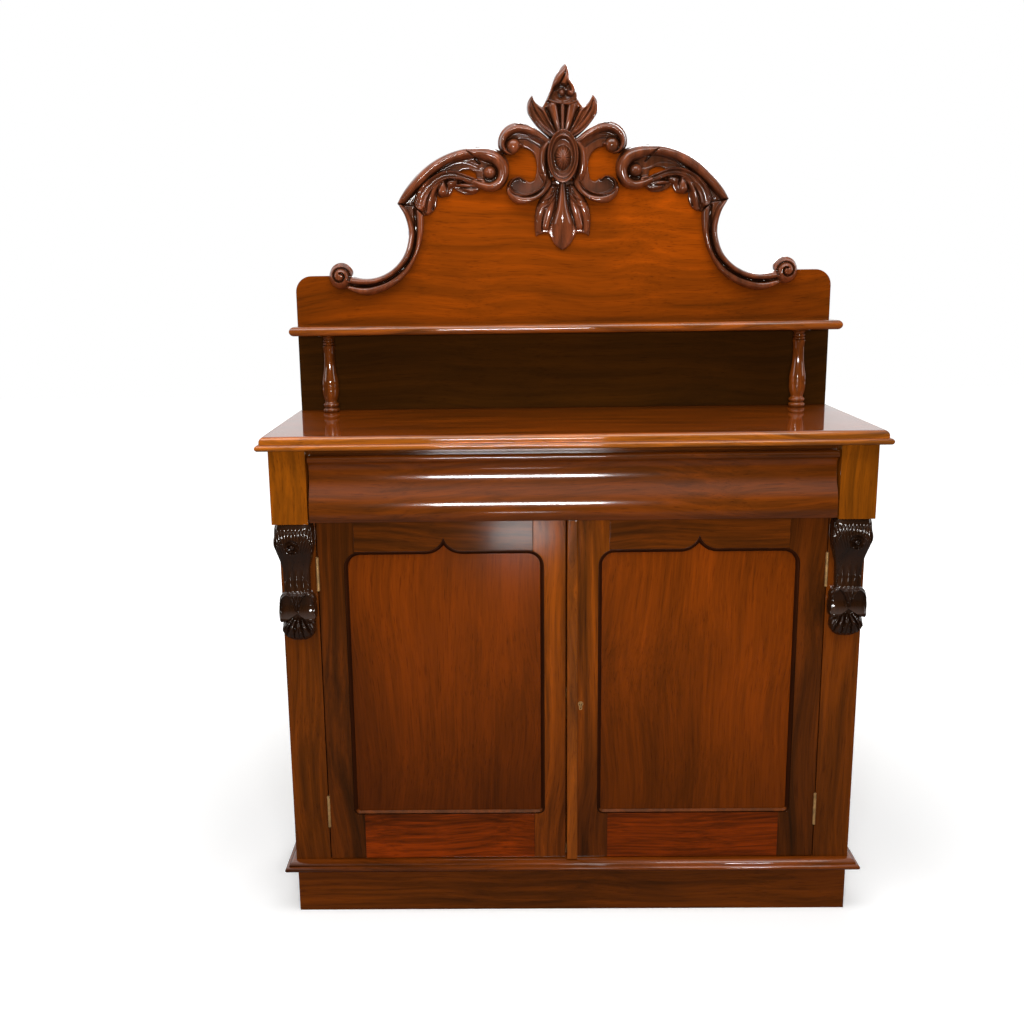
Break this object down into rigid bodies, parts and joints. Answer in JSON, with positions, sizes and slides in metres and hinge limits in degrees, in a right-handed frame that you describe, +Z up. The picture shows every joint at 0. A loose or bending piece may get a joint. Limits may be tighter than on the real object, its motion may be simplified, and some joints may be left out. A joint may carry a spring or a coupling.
{
  "type": "chiffonier",
  "caption": "Victorian mahogany chiffonier: two panelled doors with cusped heads, an ogee drawer, a moulded top, and a shaped carved back with a shelf on turned columns.",
  "frame": {"origin": "on the floor at the bottom centre of the whole piece", "axes": "+X to the viewer's right, +Y to the rear, +Z up; the doors and the drawer face -Y"},
  "size_m": [1.12, 0.408, 1.621],
  "materials": {
    "case_mahogany": "french-polished red-brown mahogany",
    "panel_mahogany": "french-polished reddish mahogany, upright grain",
    "drawer_mahogany": "high-gloss french-polished mahogany, grain along the length",
    "top_mahogany": "high-gloss french-polished mahogany",
    "back_mahogany": "polished orange-brown mahogany, figured level grain",
    "carved_mahogany": "dark stained and polished carved mahogany",
    "turned_mahogany": "polished turned mahogany",
    "secondary_pine": "plain unpolished pine",
    "brass": "aged brass"
  },
  "bodies": {
    "carcase": {"back_muntin": "secondary_pine", "back_panels": "secondary_pine", "backboard": "back_mahogany", "bottom_board": "secondary_pine", "case_hinges": "brass", "case_side_left": "case_mahogany", "case_side_right": "case_mahogany", "column_left": "turned_mahogany", "column_right": "turned_mahogany", "corbel_left": "carved_mahogany", "corbel_right": "carved_mahogany", "crest_boss": "carved_mahogany", "crest_drop": "carved_mahogany", "crest_leaf": "carved_mahogany", "crest_scroll_left": "carved_mahogany", "crest_scroll_right": "carved_mahogany", "display_shelf": "top_mahogany", "drawer_bearers": "secondary_pine", "drawer_rail": "drawer_mahogany", "frieze_blocks": "case_mahogany", "inner_shelf": "secondary_pine", "plinth_back": "secondary_pine", "plinth_blocks": "secondary_pine", "plinth_ends": "case_mahogany", "plinth_front": "case_mahogany", "plinth_moulding": "case_mahogany", "scroll_moulding_left": "carved_mahogany", "scroll_moulding_right": "carved_mahogany", "shelf_bearers": "secondary_pine", "shoulder_scroll_left": "carved_mahogany", "shoulder_scroll_right": "carved_mahogany", "stile_left": "case_mahogany", "stile_right": "case_mahogany", "table_top": "top_mahogany", "top_rail": "case_mahogany"},
    "drawer": {"drawer_front": "drawer_mahogany", "drawer_back": "secondary_pine", "drawer_bottom": "secondary_pine", "drawer_sides": "secondary_pine"},
    "door_left": {"door_left_bottom_rail": "case_mahogany", "door_left_hinge_stile": "case_mahogany", "door_left_hinges": "brass", "door_left_keepers": "brass", "door_left_meeting_stile": "case_mahogany", "door_left_moulding": "case_mahogany", "door_left_panel": "panel_mahogany", "door_left_top_rail": "case_mahogany"},
    "door_right": {"door_right_astragal": "case_mahogany", "door_right_bottom_rail": "case_mahogany", "door_right_escutcheon": "brass", "door_right_hinge_stile": "case_mahogany", "door_right_hinges": "brass", "door_right_lock": "brass", "door_right_meeting_stile": "case_mahogany", "door_right_moulding": "case_mahogany", "door_right_panel": "panel_mahogany", "door_right_top_rail": "case_mahogany"},
    "lock_bolt": {"lock_bolt": "brass"},
    "door_bolt_top": {"door_bolt_top": "brass"},
    "door_bolt_bottom": {"door_bolt_bottom": "brass"}
  },
  "joints": [
    {"name": "drawer_slide", "type": "slide", "parent": "carcase", "child": "drawer", "axis": [0, -1, 0], "range_m": [0, 0.26]},
    {"name": "door_left_hinge", "type": "hinge", "parent": "carcase", "child": "door_left", "pos_m": [-0.4665, -0.1545, 0.4495], "axis": [0, 0, -1], "range_deg": [0, 90]},
    {"name": "door_right_hinge", "type": "hinge", "parent": "carcase", "child": "door_right", "pos_m": [0.4665, -0.1545, 0.4495], "axis": [0, 0, 1], "range_deg": [0, 90]},
    {"name": "lock_bolt_throw", "type": "slide", "parent": "door_right", "child": "lock_bolt", "axis": [-1, 0, 0], "range_m": [0, 0.008]},
    {"name": "door_bolt_top_slide", "type": "slide", "parent": "door_left", "child": "door_bolt_top", "axis": [0, 0, 1], "range_m": [0, 0.012]},
    {"name": "door_bolt_bottom_slide", "type": "slide", "parent": "door_left", "child": "door_bolt_bottom", "axis": [0, 0, -1], "range_m": [0, 0.012]}
  ]
}
